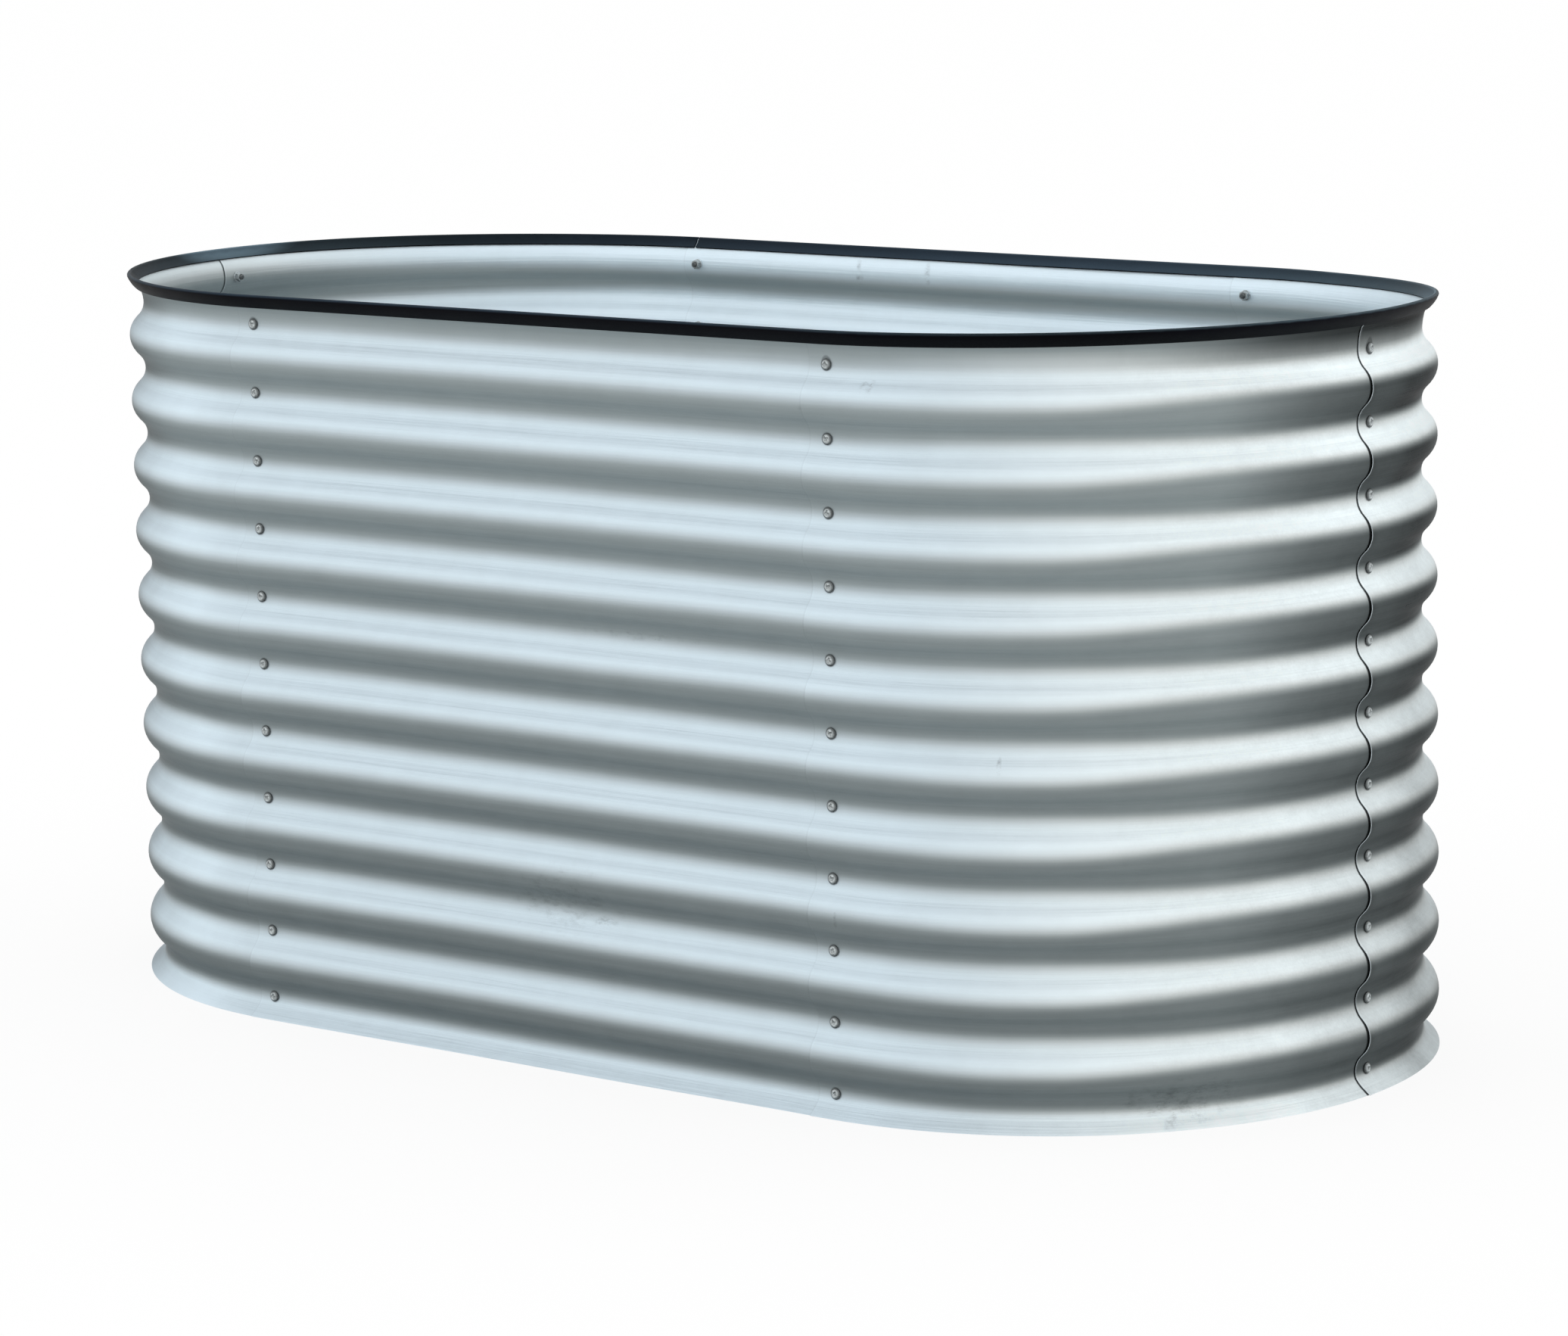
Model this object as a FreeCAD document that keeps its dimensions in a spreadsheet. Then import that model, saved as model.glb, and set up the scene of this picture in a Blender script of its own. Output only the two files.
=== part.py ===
import FreeCAD, Part
import math
import os
import Sketcher

# An oval raised garden bed: a loop of six corrugated steel sheets, open at the top and at the bottom.
# Two straight sheets make the long sides and four quarter-round sheets make the ends. Neighbouring
# sheets lap at six seams, and each seam is closed by one bolt in every valley of the corrugation.
# A rubber strip of U section is pushed over the cut rim.
#
# +X runs along the bed, -Y is its front, and +Z is up. The origin is at the centre of the open
# bottom, level with the bottom edge of the sheets. Lengths are in millimetres, angles in degrees.

SIZES = (
    ("straight_run", 788.0),     # between the centres of the two round ends, and so between the seams
    ("end_radius", 406.0),       # of a round end, to the middle of the corrugation's depth
    ("wave_pitch", 76.0),        # from one valley of the corrugation to the next
    ("wave_depth", 17.0),        # from crest to valley on the middle line of the sheet
    ("flank_angle", 45.0),       # of the steepest part of the wave, from the vertical
    ("sheet_gauge", 0.6),        # thickness of the galvanised sheet
    ("valley_count", 11),        # valleys up the wall, each with a bolt at each seam
    ("foot_drop", 23.0),         # from the lowest valley down to the bottom edge
    ("rim_rise", 29.0),          # from the highest valley up to the rim
    ("lap_edge", 21.0),          # from a seam's bolts to the edge of either sheet
    ("lap_play", 0.03),          # between the flanks of two lapped sheets
    ("hole_bore", 7.0),          # bolt holes in the sheets
    ("shank_width", 6.0),        # of a bolt
    ("shank_length", 12.0),      # of a bolt, under its head
    ("head_width", 12.0),        # of a bolt's round head
    ("head_edge", 0.9),          # height of the straight edge of the head, under its dome
    ("head_rise", 3.4),          # of the whole head
    ("washer_width", 12.5),      # outer width of the washer under a nut
    ("washer_bore", 6.4),
    ("washer_gauge", 1.6),
    ("nut_flats", 10.0),         # across the flats of the hexagon
    ("nut_rise", 5.0),
    ("thread_play", 0.1),        # all round, between a shank and its nut
    ("seat_play", 0.1),          # between a fastener and what it is tightened against
    ("edging_wall", 1.8),        # thickness of the rubber strip's legs
    ("edging_skirt", 3.0),       # straight lower part of each leg, along the flank of the wave
    ("edging_play", 0.15),       # between a leg and a lapped pair of sheets
    ("edging_seat", 0.5),        # between the rim and the bottom of the strip's slot
    ("edging_joint", 10.0),      # from the back left seam to where the strip's two ends meet
    ("edging_gap", 2.5),         # between those two ends
)

# Formulas over the sizes. Each is written once and drives every piece that meets there.
HALF_RUN = "(sizes.straight_run / 2)"
BEND = (
    "((sizes.wave_pitch / 2 * sin(sizes.flank_angle) - sizes.wave_depth * cos(sizes.flank_angle))"
    " / (2 - 2 * cos(sizes.flank_angle)))"
)
HALF_GAUGE = "(sizes.sheet_gauge / 2)"
FIRST_LEVEL = "(sizes.foot_drop - sizes.wave_pitch)"
VALLEY_LINE = "(sizes.end_radius - sizes.wave_depth / 2)"
CREST_LINE = "(sizes.end_radius + sizes.wave_depth / 2)"
HEIGHT = "(sizes.foot_drop + (sizes.valley_count - 1) * sizes.wave_pitch + sizes.rim_rise)"

# Lapped sheets are alike, so one is shifted outwards by this much for their flanks to clear.
LAP_SHIFT = "((sizes.sheet_gauge + sizes.lap_play) / cos(sizes.flank_angle))"
LAP_TURN = f"(asin({LAP_SHIFT} / sizes.straight_run) / 1 deg)"
LAP_ARC = "(sizes.lap_edge / sizes.end_radius * 180 / pi)"

# A flat head bridges the hollow of a valley; a washer touches the round of the same valley inside.
HOLLOW = f"({BEND} - {HALF_GAUGE})"
HEAD_SAG = f"({HOLLOW} - sqrt({HOLLOW}^2 - (sizes.head_width / 2)^2))"
HEAD_SEAT = f"({VALLEY_LINE} + {LAP_SHIFT} / 2 + {HALF_GAUGE} + {HEAD_SAG} + sizes.seat_play)"
WASHER_SEAT = f"({VALLEY_LINE} - {LAP_SHIFT} / 2 - {HALF_GAUGE} - sizes.seat_play)"
NUT_SEAT = f"({WASHER_SEAT} - sizes.washer_gauge - sizes.seat_play)"
NUT_CORNER = "(sizes.nut_flats / 2 / cos(30))"

# The strip follows the last crest of the wave, whose centre is half a pitch above the top valley.
RIM_CREST_LEVEL = f"({HEIGHT} - sizes.rim_rise + sizes.wave_pitch / 2)"
RIM_CREST_CENTRE = (f"({CREST_LINE} - {BEND})", RIM_CREST_LEVEL)
HALF_SLOT = f"({HALF_GAUGE} + {LAP_SHIFT} / 2 + sizes.edging_play)"
HALF_STRIP = f"({HALF_SLOT} + sizes.edging_wall)"
RIM_ANGLE = f"(asin((sizes.wave_pitch / 2 - sizes.rim_rise) / {BEND}) / 1 deg)"
SLOT_ANGLE = f"({RIM_ANGLE} - sizes.edging_seat / {BEND} * 180 / pi)"
NOSE_ANGLE = f"({SLOT_ANGLE} + {HALF_SLOT} / {BEND} * 180 / pi)"
JOINT_NEAR = "((sizes.edging_joint - sizes.edging_gap / 2) / sizes.end_radius * 180 / pi)"
JOINT_FAR = "((sizes.edging_joint + sizes.edging_gap / 2) / sizes.end_radius * 180 / pi)"

STRAIGHT, LEFT_BEND, RIGHT_BEND = 0, 1, -1
UP = FreeCAD.Vector(0, 0, 1)

doc = FreeCAD.newDocument("raised_garden_bed")
sheet = doc.addObject("Spreadsheet::Sheet", "sizes")
for row, (alias, number) in enumerate(SIZES, start=1):
    sheet.set(f"A{row}", alias)
    sheet.set(f"B{row}", str(number))
    sheet.setAlias(f"B{row}", alias)
doc.recompute()


def size(formula):
    """The number that a formula over the sizes comes to."""
    return float(sheet.evalExpression(formula))


def origin_feature(body, role):
    """One of the body's own origin planes or axes."""
    return next(item for item in body.Origin.OriginFeatures if item.Role == role)


def around(centre, radius, angle):
    """Formulas for the point at this radius and angle from a centre."""
    return f"{centre[0]} + {radius} * cos({angle})", f"{centre[1]} + {radius} * sin({angle})"


def along(start, distance, angle):
    """Formulas for the point at this distance from another in the given direction."""
    return around((f"({start[0]})", f"({start[1]})"), distance, angle)


def arc_between(start, end, radius, turn):
    """The shorter arc from start to end, with its centre to the left or to the right of the way."""
    middle = (start + end) * 0.5
    side = UP.cross(end - start).normalize() * turn
    centre = middle + side * math.sqrt(radius**2 - (end - start).Length**2 / 4)
    first, last = (start, end) if turn == LEFT_BEND else (end, start)
    first_angle = math.atan2(first.y - centre.y, first.x - centre.x)
    last_angle = math.atan2(last.y - centre.y, last.x - centre.x)
    return Part.ArcOfCircle(Part.Circle(centre, UP, radius), first_angle, last_angle)


def drive(sketch, constraint, name, formula):
    """Adds a named dimension to a sketch and binds it to its formula."""
    index = sketch.addConstraint(constraint)
    sketch.renameConstraint(index, name)
    sketch.setExpression(f"Constraints.{name}", formula)


def hold_point(sketch, geometry, vertex, point, name):
    """Dimensions one corner of an outline from the sketch's origin."""
    axes = (("DistanceX", -2, "x"), ("DistanceY", -1, "y"))
    for (kind, axis, letter), formula in zip(axes, point):
        if formula == "0":
            sketch.addConstraint(Sketcher.Constraint("PointOnObject", geometry, vertex, axis))
        else:
            number = size(formula)
            held = Sketcher.Constraint(kind, -1, 1, geometry, vertex, number)
            drive(sketch, held, f"{name}_{letter}", formula)


def new_sketch(body, name, plane, sideways="0", lift="0", turned=False):
    """An empty sketch on one of the body's origin planes, moved off it by the given formulas."""
    sketch = body.newObject("Sketcher::SketchObject", name)
    sketch.AttachmentSupport = (origin_feature(body, plane), [""])
    sketch.MapMode = "FlatFace"
    half_turn = FreeCAD.Rotation(FreeCAD.Vector(0, 1, 0), 180 if turned else 0)
    sketch.AttachmentOffset = FreeCAD.Placement(FreeCAD.Vector(), half_turn)
    sketch.setExpression("AttachmentOffset.Base.z", sideways)
    sketch.setExpression("AttachmentOffset.Base.y", lift)
    return sketch


def draw_outline(sketch, sides):
    """Closes a loop of sides, each (start point, turn, radius), all given by formulas."""
    corners = [FreeCAD.Vector(size(start[0]), size(start[1]), 0) for start, _, _ in sides]
    for index, (_, turn, radius) in enumerate(sides):
        start, end = corners[index], corners[(index + 1) % len(sides)]
        if turn == STRAIGHT:
            sketch.addGeometry(Part.LineSegment(start, end))
        else:
            sketch.addGeometry(arc_between(start, end, size(radius), turn))
    for index, (start, turn, radius) in enumerate(sides):
        begins = 2 if turn == RIGHT_BEND else 1
        previous_turn = sides[index - 1][1]
        previous = (index - 1) % len(sides)
        previous_ends = 1 if previous_turn == RIGHT_BEND else 2
        sketch.addConstraint(Sketcher.Constraint("Coincident", previous, previous_ends, index, begins))
        hold_point(sketch, index, begins, start, f"corner_{index}")
        if turn != STRAIGHT:
            drive(sketch, Sketcher.Constraint("Radius", index, size(radius)), f"radius_{index}", radius)


def draw_circle(sketch, centre, width):
    """A circle whose centre and width are given by formulas."""
    middle = FreeCAD.Vector(size(centre[0]), size(centre[1]), 0)
    circle = sketch.addGeometry(Part.Circle(middle, UP, size(width) / 2))
    hold_point(sketch, circle, 3, centre, "centre")
    drive(sketch, Sketcher.Constraint("Diameter", circle, size(width)), "width", width)


def new_body(name):
    body = doc.addObject("PartDesign::Body", name)
    body.Label = name
    return body


def revolve(body, name, sketch, axis, angle, backwards=False):
    """Turns a sketch about one of its own axes by an angle given as a formula."""
    feature = body.newObject("PartDesign::Revolution", name)
    feature.Profile = sketch
    feature.ReferenceAxis = (sketch, [axis])
    feature.Reversed = backwards
    feature.setExpression("Angle", angle)


def pad(body, name, sketch, length, backwards=False):
    """Extrudes a sketch along its normal by a length given as a formula."""
    feature = body.newObject("PartDesign::Pad", name)
    feature.Profile = sketch
    feature.Reversed = backwards
    feature.setExpression("Length", length)


def cut_through(body, name, sketch, backwards=False):
    """Cuts a sketch through all that lies on one side of it, and checks that it took something."""
    doc.recompute()
    whole = body.Shape.Volume
    feature = body.newObject("PartDesign::Pocket", name)
    feature.Profile = sketch
    feature.Type = "ThroughAll"
    feature.Reversed = backwards
    doc.recompute()
    if feature.Shape.Volume >= whole:
        raise RuntimeError(f"{body.Label}: {name} cuts nothing")


def repeat_upwards(body, name, copies, separate=False):
    """Repeats what the body holds so far up the wall, once for each pitch of the wave. Copies that
    touch grow into one solid as a whole shape; separate ones repeat the last feature instead."""
    last_feature = body.Tip
    pattern = body.newObject("PartDesign::LinearPattern", name)
    if separate:
        pattern.Originals = [last_feature]
    else:
        pattern.TransformMode = "Whole shape"
    pattern.Direction = (origin_feature(body, "Z_Axis"), [""])
    pattern.Mode = "Spacing"
    pattern.setExpression("Offset", "sizes.wave_pitch")
    pattern.setExpression("Occurrences", copies)
    body.Tip = pattern


def place(body, spot, turn):
    """Stands a body on its spot, given as two formulas, turned about the vertical."""
    body.Placement = FreeCAD.Placement(FreeCAD.Vector(), FreeCAD.Rotation(UP, 0))
    body.setExpression("Placement.Base.x", spot[0])
    body.setExpression("Placement.Base.y", spot[1])
    body.setExpression("Placement.Rotation.Angle", turn)


# ---- corrugated sheets -----------------------------------------------------------------------

def wave_sides():
    """One wave of the sheet's section, a valley and the crest above it, between two joints that
    stand square to the sheet where the flank runs into the valley. It is the wave that the foot
    cut later shears off in its crest, one pitch under the lowest whole valley."""
    valley = (f"({VALLEY_LINE} + {BEND})", FIRST_LEVEL)
    crest = (f"({CREST_LINE} - {BEND})", f"({FIRST_LEVEL} + sizes.wave_pitch / 2)")
    next_valley = (valley[0], f"({FIRST_LEVEL} + sizes.wave_pitch)")
    thin, thick = f"({BEND} - {HALF_GAUGE})", f"({BEND} + {HALF_GAUGE})"
    angle = "sizes.flank_angle"
    return (
        (around(valley, thin, f"(180 + {angle})"), RIGHT_BEND, thin),
        (around(valley, thin, f"(180 - {angle})"), STRAIGHT, None),
        (around(crest, thick, f"(-{angle})"), LEFT_BEND, thick),
        (around(crest, thick, f"({angle})"), STRAIGHT, None),
        (around(next_valley, thin, f"(180 + {angle})"), STRAIGHT, None),
        (around(next_valley, thick, f"(180 + {angle})"), STRAIGHT, None),
        (around(crest, thin, f"({angle})"), RIGHT_BEND, thin),
        (around(crest, thin, f"(-{angle})"), STRAIGHT, None),
        (around(valley, thick, f"(180 - {angle})"), LEFT_BEND, thick),
        (around(valley, thick, f"(180 + {angle})"), STRAIGHT, None),
    )


def wave_sketch(body, name, sideways):
    sketch = new_sketch(body, name, "XZ_Plane", sideways)
    draw_outline(sketch, wave_sides())
    return sketch


def punch_holes(body, start_hole, end_hole):
    """Punches the bolt hole of each lap into the valley, each given as (plane, place on it)."""
    for name, (plane, centre) in (("start_hole", start_hole), ("end_hole", end_hole)):
        sketch = new_sketch(body, f"{name}_sketch", plane)
        draw_circle(sketch, (centre, FIRST_LEVEL), "sizes.hole_bore")
        cut_through(body, name, sketch, backwards=(plane == "YZ_Plane"))


def stack_waves(body):
    """Repeats the wave to the rim, and shears the sheet off level at the bottom and at the top."""
    repeat_upwards(body, "waves", "sizes.valley_count + 1")
    reach = f"({HALF_RUN} + sizes.end_radius)"
    corners = ((f"-{reach}", f"-{reach}"), (reach, f"-{reach}"), (reach, reach), (f"-{reach}", reach))
    for name, level, upwards in (("foot_cut", "0", False), ("rim_cut", HEIGHT, True)):
        sketch = new_sketch(body, f"{name}_sketch", "XY_Plane", level)
        draw_outline(sketch, [(corner, STRAIGHT, None) for corner in corners])
        cut_through(body, name, sketch, upwards)


def straight_panel(name, side):
    """A long side's sheet, made with its outer face towards its own +X and its run along Y. Its
    laps bend with the round ends. It is turned a little about its middle, so that it starts
    outside the sheet before it and ends inside the sheet after it."""
    body = new_body(name)
    start = wave_sketch(body, "start_wave", HALF_RUN)
    end = wave_sketch(body, "end_wave", f"-{HALF_RUN}")
    pad(body, "run", end, "sizes.straight_run")
    revolve(body, "end_lap", end, "V_Axis", LAP_ARC)
    revolve(body, "start_lap", start, "V_Axis", LAP_ARC, backwards=True)
    punch_holes(body, ("YZ_Plane", f"-{HALF_RUN}"), ("YZ_Plane", HALF_RUN))
    stack_waves(body)
    spot = (
        f"-{side} * sizes.end_radius * sin({LAP_TURN})",
        f"-{side} * sizes.end_radius * (1 - cos({LAP_TURN}))",
    )
    place(body, spot, f"{LAP_TURN} - {side} * 90")
    return body


def corner_panel(name, end, turn):
    """A quarter-round sheet, made from its own +X round to its own +Y. It is shifted by half the
    lap both ways, so that it starts outside the sheet before it and ends inside the sheet after
    it. The shift is taken back in the holes, which keeps them on the bolts."""
    body = new_body(name)
    wave = wave_sketch(body, "wave", "0")
    revolve(body, "quarter", wave, "V_Axis", f"90 + {LAP_ARC}")
    pad(body, "start_lap", wave, "sizes.lap_edge")
    half_shift = f"({LAP_SHIFT} / 2)"
    punch_holes(body, ("YZ_Plane", half_shift), ("XZ_Plane", f"-{half_shift}"))
    stack_waves(body)
    spot = (
        f"{end} * {HALF_RUN} + {half_shift} * (cos({turn}) + sin({turn}))",
        f"{half_shift} * (sin({turn}) - cos({turn}))",
    )
    place(body, spot, f"{turn}")
    return body


# ---- rubber strip ----------------------------------------------------------------------------

def strip_sides():
    """The strip's U section. Its legs run parallel to the sheet: round the last crest, then
    straight down the flank. A half circle closes the top."""
    crest = RIM_CREST_CENTRE
    flank, down_flank = "(-sizes.flank_angle)", "(-90 - sizes.flank_angle)"
    nose, slot_end = f"(-{NOSE_ANGLE})", f"(-{SLOT_ANGLE})"
    skirt = "sizes.edging_skirt"
    outer, outer_slot = f"({BEND} + {HALF_STRIP})", f"({BEND} + {HALF_SLOT})"
    inner, inner_slot = f"({BEND} - {HALF_STRIP})", f"({BEND} - {HALF_SLOT})"
    top = along(around(crest, BEND, nose), HALF_STRIP, f"(90 - {NOSE_ANGLE})")
    return (
        (along(around(crest, outer, flank), skirt, down_flank), STRAIGHT, None),
        (around(crest, outer, flank), LEFT_BEND, outer),
        (around(crest, outer, nose), LEFT_BEND, HALF_STRIP),
        (top, LEFT_BEND, HALF_STRIP),
        (around(crest, inner, nose), RIGHT_BEND, inner),
        (around(crest, inner, flank), STRAIGHT, None),
        (along(around(crest, inner, flank), skirt, down_flank), STRAIGHT, None),
        (along(around(crest, inner_slot, flank), skirt, down_flank), STRAIGHT, None),
        (around(crest, inner_slot, flank), LEFT_BEND, inner_slot),
        (around(crest, inner_slot, slot_end), STRAIGHT, None),
        (around(crest, outer_slot, slot_end), RIGHT_BEND, outer_slot),
        (around(crest, outer_slot, flank), STRAIGHT, None),
        (along(around(crest, outer_slot, flank), skirt, down_flank), STRAIGHT, None),
    )


def strip_sketch(body, name, sideways, front):
    """The strip's section on a seam's plane, at the front wall or at the back wall."""
    sketch = new_sketch(body, name, "YZ_Plane", sideways, turned=front)
    draw_outline(sketch, strip_sides())
    return sketch


def rim_edging():
    """One length of strip right round the rim. Its ends meet just past the back left seam."""
    body = new_body("rim_edging")
    left_front = strip_sketch(body, "left_front_section", f"-{HALF_RUN}", True)
    right_back = strip_sketch(body, "right_back_section", HALF_RUN, False)
    left_back = strip_sketch(body, "left_back_section", f"-{HALF_RUN}", False)
    pad(body, "front_run", left_front, "sizes.straight_run", backwards=True)
    revolve(body, "right_round", right_back, "V_Axis", "180", backwards=True)
    pad(body, "back_run", left_back, "sizes.straight_run")
    revolve(body, "back_end", left_back, "V_Axis", JOINT_NEAR)
    revolve(body, "left_round", left_front, "V_Axis", f"180 - {JOINT_FAR}", backwards=True)
    return body


# ---- bolts, washers and nuts -----------------------------------------------------------------

def turned_part(body, sides):
    """A round piece on the lowest bolt's axis, which points outwards along the body's +X."""
    sketch = new_sketch(body, "half_section", "XZ_Plane", "0", "sizes.foot_drop")
    draw_outline(sketch, sides)
    revolve(body, "turned", sketch, "H_Axis", "360")


def bolt(body):
    """A round-headed bolt. The dome of its head is part of a ball."""
    shank, head = "(sizes.shank_width / 2)", "(sizes.head_width / 2)"
    tip = f"({HEAD_SEAT} - sizes.shank_length)"
    edge = f"({HEAD_SEAT} + sizes.head_edge)"
    dome_rise = "(sizes.head_rise - sizes.head_edge)"
    dome = f"(({head}^2 + {dome_rise}^2) / (2 * {dome_rise}))"
    turned_part(body, (
        ((tip, "0"), STRAIGHT, None),
        ((tip, shank), STRAIGHT, None),
        ((HEAD_SEAT, shank), STRAIGHT, None),
        ((HEAD_SEAT, head), STRAIGHT, None),
        ((edge, head), RIGHT_BEND, dome),
        ((f"({HEAD_SEAT} + sizes.head_rise)", "0"), STRAIGHT, None),
    ))


def washer(body):
    inside = f"({WASHER_SEAT} - sizes.washer_gauge)"
    bore, rim = "(sizes.washer_bore / 2)", "(sizes.washer_width / 2)"
    corners = ((inside, bore), (inside, rim), (WASHER_SEAT, rim), (WASHER_SEAT, bore))
    turned_part(body, [(corner, STRAIGHT, None) for corner in corners])


def nut(body):
    """A hexagon nut with two of its flats upright, bored to clear the shank."""
    sketch = new_sketch(body, "hexagon", "YZ_Plane", NUT_SEAT, "sizes.foot_drop")
    corners = [around(("0", "0"), NUT_CORNER, f"{60 * step + 30}") for step in range(6)]
    draw_outline(sketch, [(corner, STRAIGHT, None) for corner in corners])
    draw_circle(sketch, ("0", "0"), "(sizes.shank_width + 2 * sizes.thread_play)")
    pad(body, "hexagon_nut", sketch, "sizes.nut_rise", backwards=True)


def fasteners(kind, make, seam, end, turn):
    """The bolts, washers or nuts of one seam, one at each valley."""
    body = new_body(f"{kind}_{seam}")
    make(body)
    repeat_upwards(body, "column", "sizes.valley_count", separate=True)
    place(body, (f"{end} * {HALF_RUN}", "0"), f"{turn}")
    return body


# ---- the bed ---------------------------------------------------------------------------------

RIGHT, LEFT, FRONT, BACK = 1, -1, 1, -1
SEAMS = (
    ("front_left", LEFT, -90),
    ("front_right", RIGHT, -90),
    ("right_end", RIGHT, 0),
    ("back_right", RIGHT, 90),
    ("back_left", LEFT, 90),
    ("left_end", LEFT, 180),
)

nodes = [
    straight_panel("front_panel", FRONT),
    corner_panel("front_right_panel", RIGHT, -90),
    corner_panel("back_right_panel", RIGHT, 0),
    straight_panel("back_panel", BACK),
    corner_panel("back_left_panel", LEFT, 90),
    corner_panel("front_left_panel", LEFT, 180),
    rim_edging(),
]
for seam, end, turn in SEAMS:
    for kind, make in (("bolts", bolt), ("washers", washer), ("nuts", nut)):
        nodes.append(fasteners(kind, make, seam, end, turn))
doc.recompute()

for item in doc.Objects:
    if {"Invalid", "Error"} & set(item.State):
        raise RuntimeError(f"{item.Label} failed: {item.State}")
for node in nodes:
    if node.Shape.isNull() or not node.Shape.isValid():
        raise RuntimeError(f"{node.Label} has no valid shape")

os.makedirs("parts", exist_ok=True)
for node in nodes:
    node.Shape.exportStep(f"parts/{node.Label}.step")
    box = node.Shape.optimalBoundingBox(False, False)
    print(f"{node.Label}: {len(node.Shape.Solids)} solids, {node.Shape.Volume:.0f} mm3,"
          f" {box.XLength:.1f} x {box.YLength:.1f} x {box.ZLength:.1f}")
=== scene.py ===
import math

import bmesh
import bpy
from mathutils import Matrix, Vector, noise


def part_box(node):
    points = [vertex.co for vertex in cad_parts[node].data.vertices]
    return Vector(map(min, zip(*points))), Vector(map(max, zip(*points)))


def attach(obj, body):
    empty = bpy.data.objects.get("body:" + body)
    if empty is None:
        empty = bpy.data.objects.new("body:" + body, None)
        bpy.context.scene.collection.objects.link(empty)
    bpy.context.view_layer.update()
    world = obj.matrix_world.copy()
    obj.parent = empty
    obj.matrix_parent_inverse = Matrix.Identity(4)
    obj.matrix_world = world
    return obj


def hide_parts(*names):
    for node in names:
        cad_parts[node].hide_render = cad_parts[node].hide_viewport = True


# The looks of an oval raised garden bed: six corrugated sheets of galvanised steel, lapped and
# bolted at six seams, with a rubber strip round the rim. Lengths are in metres.

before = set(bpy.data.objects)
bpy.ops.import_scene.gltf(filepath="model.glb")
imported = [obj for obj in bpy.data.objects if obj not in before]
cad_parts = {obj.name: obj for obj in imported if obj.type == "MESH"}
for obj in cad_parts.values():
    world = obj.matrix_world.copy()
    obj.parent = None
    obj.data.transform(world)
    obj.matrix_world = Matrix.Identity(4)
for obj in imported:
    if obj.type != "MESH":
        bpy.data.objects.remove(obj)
bpy.context.view_layer.update()

HALF_RUN = 0.394          # from the middle of the bed to the centre of each round end
END_RADIUS = 0.406        # to the middle of the corrugation's depth
PITCH = 0.076             # of the corrugation
DEPTH = 0.017             # of the corrugation
FLANK = math.radians(45)  # steepest part of the wave, from the vertical
GAUGE = 0.0006            # thickness of a sheet
WALL_HEIGHT = 0.812
UNDER_RIM = 0.797         # the lower edge of the rubber strip
FOOT = 0.023              # from the bottom edge up to the lowest valley
VALLEYS = 11
LAP = 0.021               # from a seam's bolts to the edge of either sheet
LAP_PLAY = 0.00003        # between two lapped sheets
LAP_SHIFT = (GAUGE + LAP_PLAY) / math.cos(FLANK)
QUARTER = END_RADIUS * math.pi / 4    # half the length of a quarter-round sheet

# Radius of the wave's round parts, which meet straight flanks.
BEND = (PITCH / 2 * math.sin(FLANK) - DEPTH * math.cos(FLANK)) / (2 - 2 * math.cos(FLANK))


# ---- nodes -----------------------------------------------------------------------------------

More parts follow.
